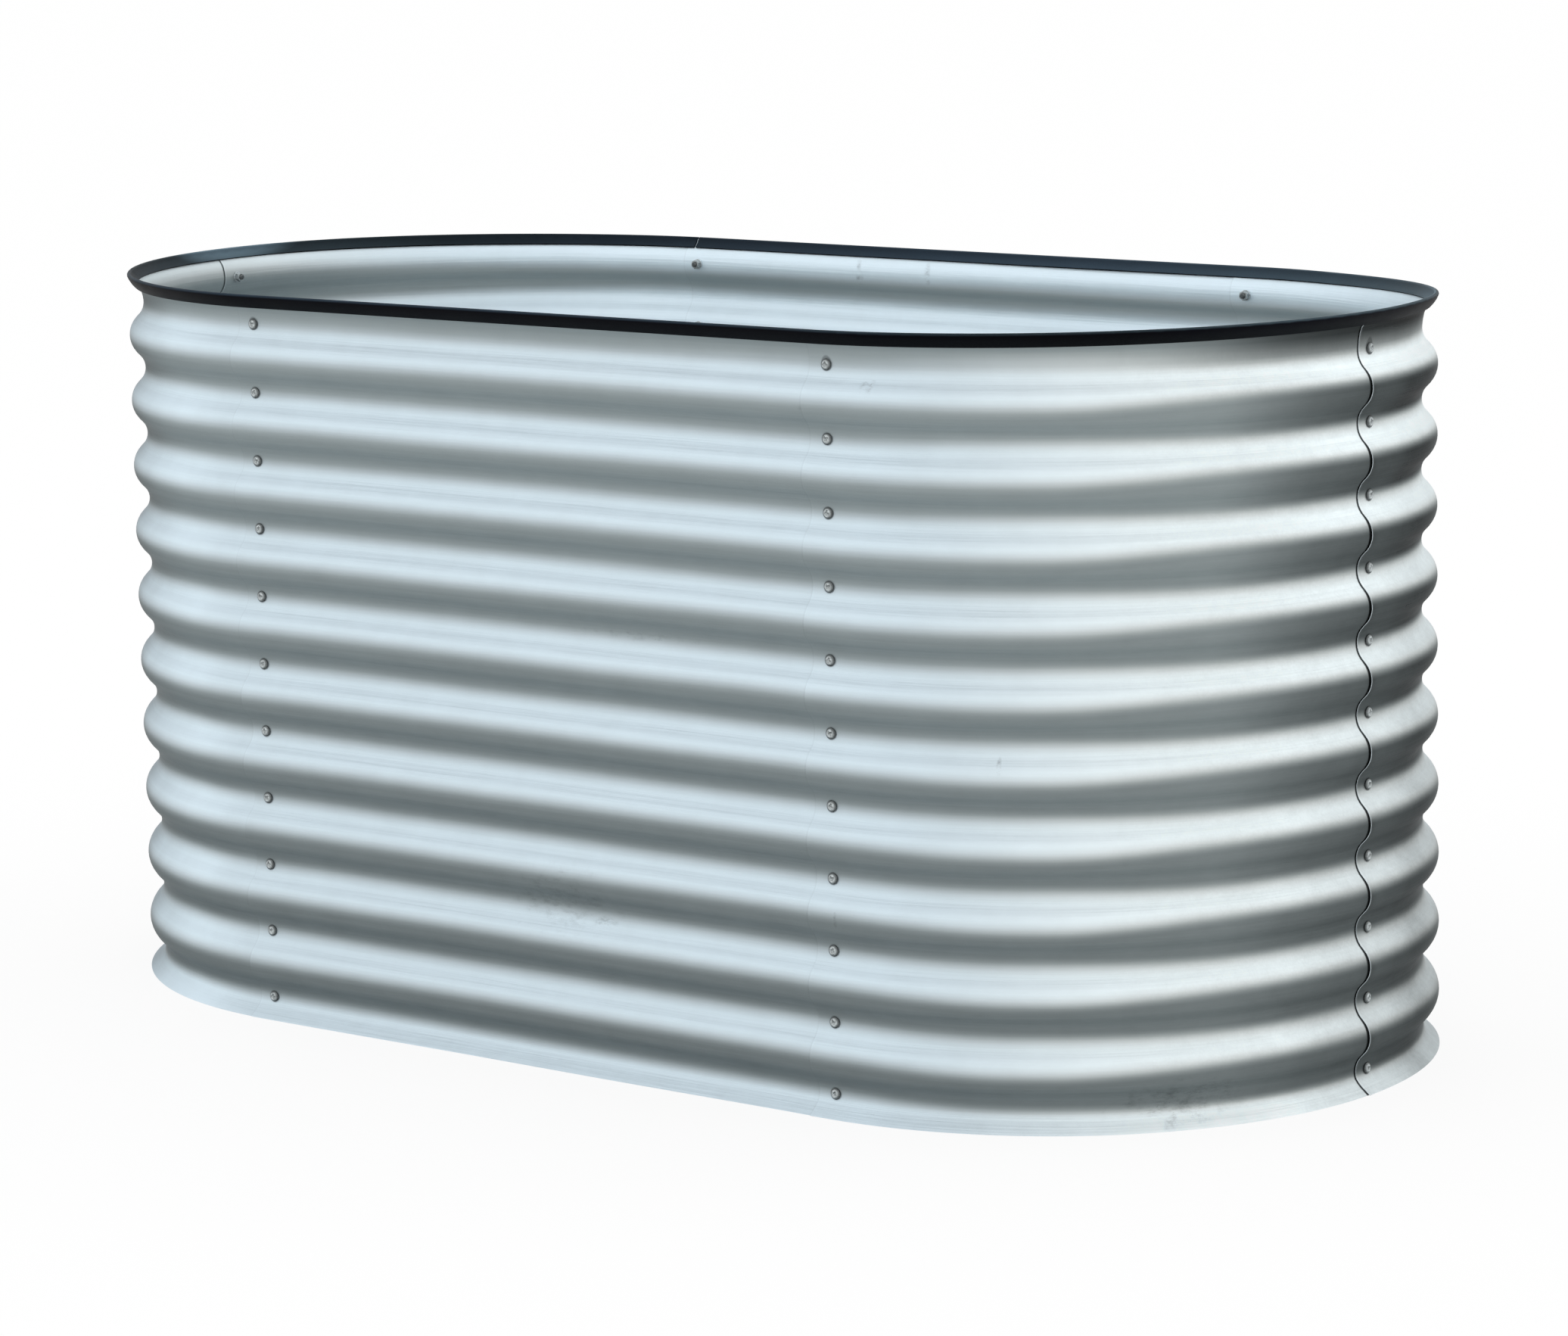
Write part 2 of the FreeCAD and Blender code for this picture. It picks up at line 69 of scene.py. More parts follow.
class Recipe:
    """Lays nodes in a material or a group and joins them up. A socket or a plain value feeds an
    input."""

    def __init__(self, tree):
        self.tree = tree

    def node(self, kind, feeds=(), **settings):
        made = self.tree.nodes.new(kind)
        for name, value in settings.items():
            setattr(made, name, value)
        for place, value in dict(feeds).items():
            self.feed(made.inputs[place], value)
        return made

    def feed(self, socket, value):
        if isinstance(value, bpy.types.NodeSocket):
            self.tree.links.new(value, socket)
        else:
            socket.default_value = value

    def math(self, operation, *values):
        return self.node("ShaderNodeMath", enumerate(values), operation=operation).outputs[0]

    def times(self, first, *others):
        """The product of masks and values."""
        for other in others:
            first = self.math("MULTIPLY", first, other)
        return first

    def total(self, start, *terms):
        """start, plus each term's amount times its masks."""
        for amount, *masks in terms:
            start = self.math("MULTIPLY_ADD", self.times(*masks), amount, start)
        return start

    def dimmed(self, value, amount, *masks):
        """The value, less this share of itself where the masks are full."""
        return self.times(value, self.total(1.0, (-amount, *masks)))

    def vector_math(self, operation, *vectors):
        made = self.node("ShaderNodeVectorMath", enumerate(vectors), operation=operation)
        return made.outputs["Value" if operation in ("LENGTH", "DOT_PRODUCT") else "Vector"]

    def split(self, vector):
        return self.node("ShaderNodeSeparateXYZ", {0: vector}).outputs

    def fade(self, value, start, end, low=0.0, high=1.0):
        """low at start and beyond, high at end and beyond, and a smooth change between."""
        feeds = {0: value, 1: start, 2: end, 3: low, 4: high}
        made = self.node("ShaderNodeMapRange", feeds, interpolation_type="SMOOTHSTEP")
        return made.outputs[0]

    def cloud(self, place, stretch, detail=3.0, roughness=0.55):
        """Soft noise from 0 to 1, stretched along each direction by so many waves per metre."""
        scaled = self.vector_math("MULTIPLY", place, stretch)
        feeds = {"Vector": scaled, "Scale": 1.0, "Detail": detail, "Roughness": roughness}
        return self.node("ShaderNodeTexNoise", feeds).outputs["Fac"]

    def blend(self, amount, first, second):
        feeds = {0: amount, 6: first, 7: second}
        return self.node("ShaderNodeMix", feeds, data_type="RGBA").outputs[2]

    def scaled_colour(self, colour, factor):
        made = self.node("ShaderNodeVectorMath", {0: colour, 3: factor}, operation="SCALE")
        return made.outputs["Vector"]

    def ramp(self, value, stops):
        made = self.node("ShaderNodeValToRGB", {0: value})
        ramp = made.color_ramp
        ramp.interpolation = "CARDINAL"
        while len(ramp.elements) < len(stops):
            ramp.elements.new(1.0)
        for element, (position, colour) in zip(ramp.elements, stops):
            element.position = position
            element.color = colour
        return made.outputs[0]


def paint(red, green, blue):
    """A colour as seen on a screen, 0 to 255, as the shader wants it."""
    def straight(value):
        value /= 255
        return value / 12.92 if value <= 0.04045 else ((value + 0.055) / 1.055) ** 2.4
    return straight(red), straight(green), straight(blue), 1.0


def node_group(name, inputs, outputs):
    """A shader node group with named sockets: inputs are (name, kind, value) and outputs
    (name, kind)."""
    tree = bpy.data.node_groups.new(name, "ShaderNodeTree")
    for label, kind, value in inputs:
        tree.interface.new_socket(label, in_out="INPUT", socket_type=kind).default_value = value
    for label, kind in outputs:
        tree.interface.new_socket(label, in_out="OUTPUT", socket_type=kind)
    recipe = Recipe(tree)
    return recipe, recipe.node("NodeGroupInput").outputs, recipe.node("NodeGroupOutput").inputs


def new_material(name, metallic, specular=0.5, edge_tint=1.0):
    """A material with its surface shader, and the recipe that dresses it."""
    material = bpy.data.materials.new(name)
    material.use_nodes = True
    recipe = Recipe(material.node_tree)
    surface = material.node_tree.nodes["Principled BSDF"]
    surface.inputs["Metallic"].default_value = metallic
    surface.inputs["Specular IOR Level"].default_value = specular
    surface.inputs["Specular Tint"].default_value = (edge_tint, edge_tint, edge_tint, 1)
    return material, recipe, surface


NUMBER, VECTOR = "NodeSocketFloat", "NodeSocketVector"


def skin_detail():
    """Cloudy patches and fine grain, for every finish on the bed."""
    recipe, given, made = node_group(
        "skin_detail",
        (("Place", VECTOR, (0, 0, 0)), ("Patch Stretch", VECTOR, (30, 30, 30)),
         ("Grain Stretch", VECTOR, (600, 600, 600))),
        (("Patches", NUMBER), ("Grain", NUMBER)),
    )
    patches = recipe.cloud(given["Place"], given["Patch Stretch"], detail=4.0)
    grain = recipe.cloud(given["Place"], given["Grain Stretch"], detail=2.0)
    recipe.feed(made["Patches"], recipe.math("SUBTRACT", patches, 0.5))
    recipe.feed(made["Grain"], recipe.math("SUBTRACT", grain, 0.5))
    return recipe.tree


def lean():
    """How far a surface leans: up is 1 where it faces the sky and -1 where it faces the ground,
    side is 1 where it faces the bed's right end, and back is 1 where it faces the bed's back."""
    recipe, _, made = node_group("lean", (), (("Up", NUMBER), ("Side", NUMBER), ("Back", NUMBER)))
    normal = recipe.node("ShaderNodeTexCoord").outputs["Normal"]
    level = recipe.vector_math("NORMALIZE", recipe.vector_math("MULTIPLY", normal, (1, 1, 0)))
    recipe.feed(made["Up"], recipe.split(normal)[2])
    recipe.feed(made["Side"], recipe.split(level)[0])
    recipe.feed(made["Back"], recipe.split(level)[1])
    return recipe.tree


def wall_faces():
    """Outside is 1 on the faces that look out from the bed, and Inside on those that look in."""
    recipe, _, made = node_group("wall_faces", (), (("Outside", NUMBER), ("Inside", NUMBER)))
    coordinates = recipe.node("ShaderNodeTexCoord").outputs
    spot = recipe.split(coordinates["Object"])
    along = recipe.math("MAXIMUM", recipe.math("MINIMUM", spot[0], HALF_RUN), -HALF_RUN)
    centre = recipe.node("ShaderNodeCombineXYZ", {0: along, 2: spot[2]}).outputs[0]
    outward = recipe.vector_math("SUBTRACT", coordinates["Object"], centre)
    lean_out = recipe.vector_math("DOT_PRODUCT", coordinates["Normal"], outward)
    outside = recipe.math("GREATER_THAN", lean_out, 0.0)
    recipe.feed(made["Outside"], outside)
    recipe.feed(made["Inside"], recipe.math("SUBTRACT", 1.0, outside))
    return recipe.tree


SKIN_DETAIL = skin_detail()
LEAN = lean()
WALL_FACES = wall_faces()


def dress(recipe, group, feeds=()):
    made = recipe.node("ShaderNodeGroup", node_tree=group)
    for name, value in dict(feeds).items():
        recipe.feed(made.inputs[name], value)
    return made.outputs


def finish_surface(recipe, surface, colour, roughness, relief, relief_depth):
    recipe.feed(surface.inputs["Base Color"], colour)
    recipe.feed(surface.inputs["Roughness"], roughness)
    bump = recipe.node("ShaderNodeBump", {"Height": relief, "Distance": relief_depth})
    recipe.feed(surface.inputs["Normal"], bump.outputs[0])


# ---- galvanised sheet ------------------------------------------------------------------------

# Painted reflection: the zinc's colour is bright where it leans up, as if it mirrored the sky, and
# dark where it leans down, as if it mirrored the ground.
ZINC_PAINTED_REFLECTION = (
    (-0.90, paint(138, 148, 150)),
    (-0.62, paint(140, 150, 152)),
    (-0.38, paint(141, 151, 153)),
    (-0.12, paint(158, 168, 171)),
    (0.12, paint(188, 200, 206)),
    (0.36, paint(207, 222, 230)),
    (0.62, paint(209, 224, 233)),
)

WARMER = (1.07, 1.0, 0.94)       # tint of the painted reflection, round the right bend and at the ends inside
BOLT_SHADE_RING = (0.0078, 0.0060)     # where the ring of painted shade under a bolt head ends and is full
DIRT_AND_SHADE_LINE = (0.0030, 0.0012)     # the same for the line of dirt and painted shade along a neighbour's edge
HIGHLIGHT_EDGE = 0.0035             # width of the painted highlight on a sheet's own edge at a lap
UNDER_RIM_REACH = 0.024          # how far down the strip's shade reaches at the right end
FOOT_LIGHT = (0.020, 0.004)      # where the light from the ground ends and is full

# Marks from handling: (sheet, along, height, half length, half height, darkening, inner face)
MARKS = (
    (0, 0.036, 0.186, 0.090, 0.045, 0.34, 0),
    (0, 0.092, 0.168, 0.022, 0.010, 0.50, 0),
    (0, 0.373, 0.738, 0.008, 0.006, 0.60, 0),
    (0, 0.143, 0.482, 0.110, 0.0060, 0.35, 0),
    (1, 0.062, 0.026, 0.085, 0.030, 0.62, 0),
    (1, -0.264, 0.766, 0.012, 0.010, 0.85, 0),
    (1, -0.306, 0.213, 0.0026, 0.012, 0.95, 0),
    (1, -0.128, 0.381, 0.0030, 0.011, 0.80, 0),
    (3, 0.151, 0.783, 0.0060, 0.022, 0.60, 1),
    (3, 0.051, 0.783, 0.0060, 0.020, 0.60, 1),
)


def rubbed_mark():
    """A patch of specks and smears round a centre, for scuffs and stains."""
    recipe, given, made = node_group(
        "rubbed_mark",
        (("Place", VECTOR, (0, 0, 0)), ("Centre", VECTOR, (0, 0, 0)), ("Reach", VECTOR, (1, 1, 1))),
        (("Mark", NUMBER),),
    )
    place = given["Place"]
    away = recipe.vector_math("SUBTRACT", place, given["Centre"])
    away = recipe.vector_math("LENGTH", recipe.vector_math("DIVIDE", away, given["Reach"]))
    bent = recipe.math("SUBTRACT", recipe.cloud(place, (60, 60, 1), detail=3.0), 0.5)
    away = recipe.total(away, (1.8, bent))
    smears = recipe.cloud(place, (55, 120, 1), detail=4.0, roughness=0.7)
    specks = recipe.cloud(place, (240, 240, 1), detail=4.0, roughness=0.7)
    smears = recipe.times(recipe.fade(smears, 0.42, 0.72), 0.6)
    specks = recipe.times(recipe.fade(specks, 0.58, 0.74), 0.8)
    both = recipe.math("MAXIMUM", smears, specks)
    recipe.feed(made["Mark"], recipe.times(recipe.fade(away, 1.0, 0.2), both))
    return recipe.tree


RUBBED_MARK = rubbed_mark()

# Zones of the wall, each a mask from 0 to 1: the face of the sheet that it lies on, and the leans
# that bound it, each as (lean, where it starts, where it is full).
ZONES = {
    "bend": ("Outside", ("Side", 0.05, 0.45)),
    "end": ("Outside", ("Side", 0.55, 1.0)),
    "far_end": ("Outside", ("Side", 0.84, 1.02)),
    "tip": ("Outside", ("Side", 0.93, 1.0)),
    "bright_end": ("Outside", ("Side", 0.2, 0.95)),
    "warm_end": ("Outside", ("Side", 0.1, 0.9)),
    "rim_end": ("Outside", ("Side", 0.72, 0.97)),
    "turned_away": ("Outside", ("Side", 0.7, 1.0), ("Back", -0.2, 0.3)),
    "corner": ("Outside", ("Back", 0.02, 0.30), ("Back", 0.88, 0.62)),
    "left": ("Outside", ("Side", -0.05, -0.3)),
    "left_away": ("Outside", ("Side", -0.3, -0.75)),
    "left_corner": ("Outside", ("Side", -0.56, -0.80), ("Back", -0.15, -0.5)),
    "back_wall": ("Inside", ("Back", 0.1, -0.9)),
    "inner_left": ("Inside", ("Side", 0.05, 0.75)),
    "inner_right": ("Inside", ("Side", -0.2, -0.8)),
}


def wall_zones(recipe, leans, faces, height, from_valley):
    """Masks for the zones, for the height up the wall, and for the ridges of the wave."""
    zones = {"outside": faces["Outside"], "inside": faces["Inside"]}
    for name, (face, *edges) in ZONES.items():
        bounds = [recipe.fade(leans[side], start, full) for side, start, full in edges]
        zones[name] = recipe.times(faces[face], *bounds)
    zones["low"] = recipe.fade(height, WALL_HEIGHT, 0.0)
    zones["high"] = recipe.math("SUBTRACT", 1.0, zones["low"])
    zones["ridge"] = recipe.times(recipe.fade(from_valley, 0.008, 0.030), zones["outside"])
    zones["inner_ridge"] = recipe.times(recipe.fade(from_valley, 0.024, 0.006), zones["back_wall"])
    return zones


def band_tilt(recipe, up, place, zones):
    """The lean that the bands of painted reflection and shade follow. Round the right end they
    stand higher on each ridge, and inside the bed they are wider."""
    low, bend, end = zones["low"], zones["bend"], zones["end"]
    sway = recipe.math("SUBTRACT", recipe.cloud(place, (2.5, 7, 1), detail=1.0), 0.5)
    on_ridge = recipe.total(0.0, (-0.44, end), (0.06, end, low), (-0.20, low), (0.20, low, bend))
    in_valley = recipe.total(
        0.0, (0.10, bend), (-0.24, bend, low), (-0.15, end), (-0.22, zones["left_away"]))
    between = recipe.math("SUBTRACT", on_ridge, in_valley)
    return recipe.total(
        recipe.math("ADD", up, in_valley),
        (1.0, zones["ridge"], between), (0.14, sway), (0.10, zones["inside"]),
        (0.12, zones["back_wall"]), (0.20, zones["inner_ridge"]),
        (-0.22, zones["inner_left"]), (-0.06, zones["inner_right"]),
    )


def hollow_level(recipe, up, hollow, zones):
    """Painted shade on the faces that lean down: how bright they are, darker near the ground and at
    the right end.
    """
    low, far_end, left_away = zones["low"], zones["far_end"], zones["left_away"]
    shade = recipe.total(0.0, (0.34, low), (0.66, far_end), (-0.41, far_end, low))
    upper_corner = recipe.times(zones["corner"], zones["high"])
    flank = recipe.fade(up, -0.35, -0.68)
    rest = recipe.total(1.0, (-0.62, left_away), (0.50, left_away, low))
    rest = recipe.dimmed(rest, 0.50, zones["turned_away"])
    rest = recipe.dimmed(rest, 0.52, upper_corner)
    rest = recipe.dimmed(rest, 0.30, upper_corner, flank)
    rest = recipe.total(1.0, (1.0, recipe.math("SUBTRACT", rest, 1.0), hollow))
    return recipe.dimmed(rest, 1.0, shade, hollow)


def bright_level(recipe, hollow, zones):
    """The painted highlight that the faces that lean up gain: they are brighter at both ends, but
    not at the corners where the wall turns away."""
    low, corner = zones["low"], zones["corner"]
    gain = recipe.total(
        0.0, (0.34, zones["bright_end"]), (-0.34, zones["tip"], low), (0.14, zones["left"]),
        (-0.28, zones["left_away"]), (-0.30, zones["left_corner"]), (-0.62, corner, low),
        (0.08, corner),
    )
    return recipe.dimmed(gain, 1.0, hollow)


def sheet_tone(recipe, leans, place, zones):
    """The zinc's bands of painted reflection and shade, bright where it leans up and dark where it
    leans down, their painted warm tint, and where its bright bands are frosted."""
    tilt = band_tilt(recipe, leans["Up"], place, zones)
    stops = [(0.5 + up / 2, colour) for up, colour in ZINC_PAINTED_REFLECTION]
    tone = recipe.ramp(recipe.math("MULTIPLY_ADD", tilt, 0.5, 0.5), stops)
    hollow = recipe.fade(tilt, 0.10, -0.40)
    level = recipe.total(
        hollow_level(recipe, leans["Up"], hollow, zones),
        (1.0, bright_level(recipe, hollow, zones)), (0.06, zones["inside"]),
        (0.14, zones["back_wall"]), (-0.10, zones["inner_right"]),
    )
    warmth = recipe.total(zones["warm_end"], (0.8, zones["inside"]), (-0.8, zones["back_wall"]))
    warmth = recipe.dimmed(warmth, 0.8, hollow)
    tone = recipe.blend(warmth, tone, recipe.vector_math("MULTIPLY", tone, WARMER))
    return tone, level, recipe.dimmed(zones["end"], 0.85, hollow)


def lap_level(recipe, level, laps, faces, from_valley):
    """A dark ring of painted shade under each bolt head, a dark line of dirt and painted shade
    along a neighbour's edge, and a painted highlight on the sheet's own edge."""
    after_start, before_end = laps[0], laps[1]
    to_start, to_end = recipe.math("ABSOLUTE", after_start), recipe.math("ABSOLUTE", before_end)
    from_seam = recipe.math("MINIMUM", to_start, to_end)
    across = recipe.node("ShaderNodeCombineXYZ", {0: from_valley, 1: from_seam}).outputs[0]
    from_bolt = recipe.vector_math("LENGTH", across)
    # Painted shade: a dark ring round each bolt head on the outer face.
    level = recipe.dimmed(level, 0.4, recipe.fade(from_bolt, *BOLT_SHADE_RING), faces["Outside"])

    dirt_and_shade = recipe.node("ShaderNodeAttribute", attribute_name="lap_dirt_and_shade").outputs["Fac"]
    lines = []
    for lap, face in ((before_end, faces["Outside"]), (after_start, faces["Inside"])):
        from_edge = recipe.math("ABSOLUTE", recipe.math("SUBTRACT", lap, LAP))
        lines.append(recipe.times(recipe.fade(from_edge, *DIRT_AND_SHADE_LINE), face))
    level = recipe.dimmed(level, 0.9, recipe.math("MAXIMUM", *lines), dirt_and_shade)

    # Painted highlight along the sheet's own edges.
    own_edge = recipe.math("MINIMUM", after_start, before_end)
    return recipe.total(level, (0.2, recipe.fade(own_edge, HIGHLIGHT_EDGE - LAP, -LAP), dirt_and_shade))


def galvanised_sheet():
    """Rolled zinc: bands of painted reflection and shade from its lean, fine roll lines, cloudy
    patches, frost at the right end, painted light at the foot, painted shade under the strip, marks
    from use, painted shade round the bolts, dirt and painted shade at the laps, and a painted
    highlight on the sheets' own edges."""
    material, recipe, surface = new_material("galvanised_sheet", 0.4, specular=0.03, edge_tint=0.3)
    place = recipe.node("ShaderNodeUVMap", uv_map="sheet").outputs[0]
    laps = recipe.split(recipe.node("ShaderNodeUVMap", uv_map="laps").outputs[0])
    height = recipe.split(place)[1]
    leans = dress(recipe, LEAN)
    faces = dress(recipe, WALL_FACES)
    detail = dress(recipe, SKIN_DETAIL, {
        "Place": place, "Patch Stretch": (26, 34, 1), "Grain Stretch": (5, 420, 1)})
    frost = dress(recipe, SKIN_DETAIL, {
        "Place": place, "Patch Stretch": (60, 90, 1), "Grain Stretch": (330, 330, 1)})

    rise = recipe.math("SUBTRACT", height, FOOT - PITCH / 2)
    rise = recipe.math("MODULO", recipe.math("ADD", rise, PITCH), PITCH)
    from_valley = recipe.math("ABSOLUTE", recipe.math("SUBTRACT", rise, PITCH / 2))
    zones = wall_zones(recipe, leans, faces, height, from_valley)
    tone, level, frosted = sheet_tone(recipe, leans, place, zones)

    foot = recipe.times(recipe.fade(height, *FOOT_LIGHT), faces["Outside"])
    level = recipe.total(
        level, (0.07, detail["Grain"]), (0.14, detail["Patches"]),
        (0.26, frosted, recipe.total(frost["Patches"], (0.7, frost["Grain"]))), (0.07, foot),
    )
    under_rim = recipe.fade(height, UNDER_RIM - UNDER_RIM_REACH, UNDER_RIM)
    level = recipe.dimmed(level, 0.60, under_rim, zones["rim_end"])
    for sheet, along, up, long, tall, darkening, inner in MARKS:
        mark = dress(recipe, RUBBED_MARK, {
            "Place": place, "Centre": (sheet + along, up, 0), "Reach": (long, tall, 1)})["Mark"]
        level = recipe.dimmed(level, darkening, mark, faces["Inside" if inner else "Outside"])
    level = lap_level(recipe, level, laps, faces, from_valley)

    roughness = recipe.total(0.45, (0.16, detail["Patches"]))
    relief = recipe.total(detail["Patches"], (0.6, detail["Grain"]))
    finish_surface(recipe, surface, recipe.scaled_colour(tone, level), roughness, relief, 0.0006)
    return material


def cut_edge():
    """The sheared edge of the sheet: brighter than its faces, with fine burrs."""
    material, recipe, surface = new_material("cut_edge", 0.4, specular=0.05)
    spot = recipe.node("ShaderNodeTexCoord").outputs["Object"]
    detail = dress(recipe, SKIN_DETAIL, {
        "Place": spot, "Patch Stretch": (60, 60, 60), "Grain Stretch": (1500, 1500, 1500)})
    level = recipe.total(1.0, (0.3, detail["Patches"]), (0.3, detail["Grain"]))
    colour = recipe.scaled_colour(paint(228, 238, 244)[:3], level)
    roughness = recipe.total(0.42, (0.3, detail["Grain"]))
    finish_surface(recipe, surface, colour, roughness, detail["Grain"], 0.0001)
    return material


def wave(height):
    """How far the sheet stands out from the middle of the corrugation's depth at this height."""
    from_valley = abs((height - FOOT + PITCH / 2) % PITCH - PITCH / 2)
    reach = BEND * math.sin(FLANK)
    if from_valley < reach:
        return -DEPTH / 2 + BEND - math.sqrt(BEND**2 - from_valley**2)
    if from_valley > PITCH / 2 - reach:
        return DEPTH / 2 - BEND + math.sqrt(BEND**2 - (PITCH / 2 - from_valley) ** 2)
    return -DEPTH / 2 + BEND * (1 - math.cos(FLANK)) + (from_valley - reach) * math.tan(FLANK)


LAP_COLUMNS = 6
MIDDLE_COLUMNS = 58
COLUMNS = MIDDLE_COLUMNS + 2 * LAP_COLUMNS
ROWS = 214

WAVES = 0.0011                             # height of a sheet's slight waves
HELD_REACH = 0.06                          # how far from a seam its bolts hold the sheet flat
FLARE, FLARE_HEIGHT = 0.0055, 0.016        # of the foot of each sheet
BULGED_SHEET = 2
BULGE, BULGE_HEIGHT = 0.0075, 0.62         # of that sheet near the ground
SPRING, SPRING_REACH = 0.0009, 0.012       # of an outer edge between its bolts
RIM_RISE, MORE_AT_END = 0.0028, 0.0072     # of the rim in front, and what the right end adds
RISE_ALONG = (0.4, 1.4)                    # metres from the front left seam, where it grows
RISE_ROUND = (1.7, 2.9)                    # radians round an end from its front, where it ends
TOP_VALLEY = FOOT + PITCH * (VALLEYS - 1)


def column_place(column, half):
    """Where a column of the blank lies along the sheet. The laps have closer columns."""
    if column <= LAP_COLUMNS:
        return -half - LAP + LAP * column / LAP_COLUMNS
    if column >= COLUMNS - LAP_COLUMNS:
        return half + LAP - LAP * (COLUMNS - column) / LAP_COLUMNS
    return -half + 2 * half * (column - LAP_COLUMNS) / MIDDLE_COLUMNS


def give(along, height, half, sheet, spring):
    """How far a real sheet strays from its drawn shape: it waves a little between the seams, its
    foot flares, the back right one bulges near the ground, and between the bolts its outer edge
    springs away from the sheet under it."""
    free = min(1.0, max(0.0, (half - abs(along)) / HELD_REACH))
    waves = noise.noise(Vector((along * 4.5, height * 3.0, sheet * 7.0))) * WAVES * free
    outwards = FLARE * max(0.0, 1 - height / FLARE_HEIGHT)
    if sheet == BULGED_SHEET:
        middle = max(0.0, 1 - (along / half) ** 2) ** 2
        outwards += BULGE * middle * max(0.0, 1 - height / BULGE_HEIGHT)
    near_edge = max(0.0, (-half - LAP + SPRING_REACH - along) / SPRING_REACH)
    between_bolts = 0.5 + wave(height) / DEPTH
    return waves + outwards + SPRING * spring * near_edge**2 * between_bolts


def smooth(value, start, end):
    """0 up to start, 1 from end on, and a smooth change between."""
    share = max(0.0, min(1.0, (value - start) / (end - start)))
    return share * share * (3 - 2 * share)


def raise_rim(bm):
    """The rim isn't quite level: it rises a little along the front and more at the right end. The
    sheets stretch above their top bolts, and the strip rises with them."""
    for vert in bm.verts:
        x, y, height = vert.co
        run = max(-HALF_RUN, min(HALF_RUN, x))
        turn = math.atan2(abs(x - run), -y)
        to_right = run + HALF_RUN + (END_RADIUS * turn if x > run else 0.0)
        rise = RIM_RISE + MORE_AT_END * smooth(to_right, *RISE_ALONG)
        rise *= 1 - smooth(turn, *RISE_ROUND)
        vert.co.z += rise * smooth(height, TOP_VALLEY, UNDER_RIM)


def rolled_sheet(sheet, name, centre_x, turn, flat, half, start_dirt_and_shade, end_dirt_and_shade):
    """One sheet, made as the real one is: cut flat, corrugated, then rolled round its end. Its
    first edge lies outside the sheet before it and its last edge inside the sheet after it. flat
    is half the length that stays straight, and half is half the length between its seams."""
    bm = bmesh.new()
    bmesh.ops.create_grid(bm, x_segments=COLUMNS, y_segments=ROWS, size=0.5)
    sheet_map = bm.loops.layers.uv.new("sheet")
    lap_map = bm.loops.layers.uv.new("laps")
    lap_dirt_and_shade = bm.verts.layers.float.new("lap_dirt_and_shade")
    flat_places = {}
    for vert in bm.verts:
        along = column_place(round((vert.co.x + 0.5) * COLUMNS), half)
        height = WALL_HEIGHT * (vert.co.y + 0.5)
        flat_places[vert] = along, height
        vert[lap_dirt_and_shade] = start_dirt_and_shade if along < 0 else end_dirt_and_shade
    for edge in bm.edges:
        edge.smooth = not edge.is_boundary
    for face in bm.faces:
        for loop in face.loops:
            along, height = flat_places[loop.vert]
            loop[sheet_map].uv = sheet + along, height
            loop[lap_map].uv = along + half, half - along
    for vert, (along, height) in flat_places.items():
        seam_share = max(-1.0, min(1.0, along / half))
        radius = END_RADIUS + wave(height) - seam_share * LAP_SHIFT / 2
        radius += give(along, height, half, sheet, start_dirt_and_shade)
        run = max(-flat, min(flat, along))
        arc = along - run if flat else max(along, -half)
        angle = arc / END_RADIUS
        straight = along - run - arc
        vert.co = (
            run + radius * math.sin(angle) + straight * math.cos(angle),
            -radius * math.cos(angle) + straight * math.sin(angle),
            height,
        )
    place = Matrix.Translation((centre_x, 0, 0)) @ Matrix.Rotation(math.radians(turn), 4, "Z")
    bmesh.ops.transform(bm, matrix=place, verts=bm.verts)
    raise_rim(bm)
    piece = make_piece(
        bm, f"sheet_{name}", [ZINC, CUT_EDGE], f"{name}_panel", sharp=None)
    wall = piece.modifiers.new("gauge", "SOLIDIFY")
    wall.thickness = GAUGE
    wall.offset = 0.0
    wall.material_offset_rim = 1
    return piece


def make_piece(bm, name, materials, node, sharp=math.radians(38)):
    """Makes an object of a bmesh, in place of a CAD node."""
    mesh = bpy.data.meshes.new(name)
    bm.to_mesh(mesh)
    bm.free()
    mesh.shade_smooth()
    if sharp:
        mesh.set_sharp_from_angle(angle=sharp)
    for material in materials:
        mesh.materials.append(material)
    piece = bpy.data.objects.new(name, mesh)
    bpy.context.scene.collection.objects.link(piece)
    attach(piece, "root")
    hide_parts(node)
    return piece


ZINC = galvanised_sheet()
CUT_EDGE = cut_edge()
RIGHT_SEAM, LEFT_SEAM, PLAIN_SEAM = 1.0, 0.8, 0.06     # how much dirt and painted shade each lap has
rolled_sheet(0, "front", 0, 0, HALF_RUN, HALF_RUN, PLAIN_SEAM, PLAIN_SEAM)
rolled_sheet(1, "front_right", HALF_RUN, 45, 0, QUARTER, PLAIN_SEAM, RIGHT_SEAM)
rolled_sheet(2, "back_right", HALF_RUN, 135, 0, QUARTER, RIGHT_SEAM, PLAIN_SEAM)
rolled_sheet(3, "back", 0, 180, HALF_RUN, HALF_RUN, PLAIN_SEAM, PLAIN_SEAM)
rolled_sheet(4, "back_left", -HALF_RUN, 225, 0, QUARTER, PLAIN_SEAM, LEFT_SEAM)
rolled_sheet(5, "front_left", -HALF_RUN, 315, 0, QUARTER, LEFT_SEAM, PLAIN_SEAM)


# ---- rubber strip ----------------------------------------------------------------------------

# Painted highlight: the rubber's colour is lighter where it faces up.
RUBBER_TONES = (
    (0.15, paint(6, 9, 14)),
    (0.50, paint(10, 15, 23)),
    (0.85, paint(40, 52, 63)),
)
GREYER = (1.14, 1.06, 0.90)      # towards both ends


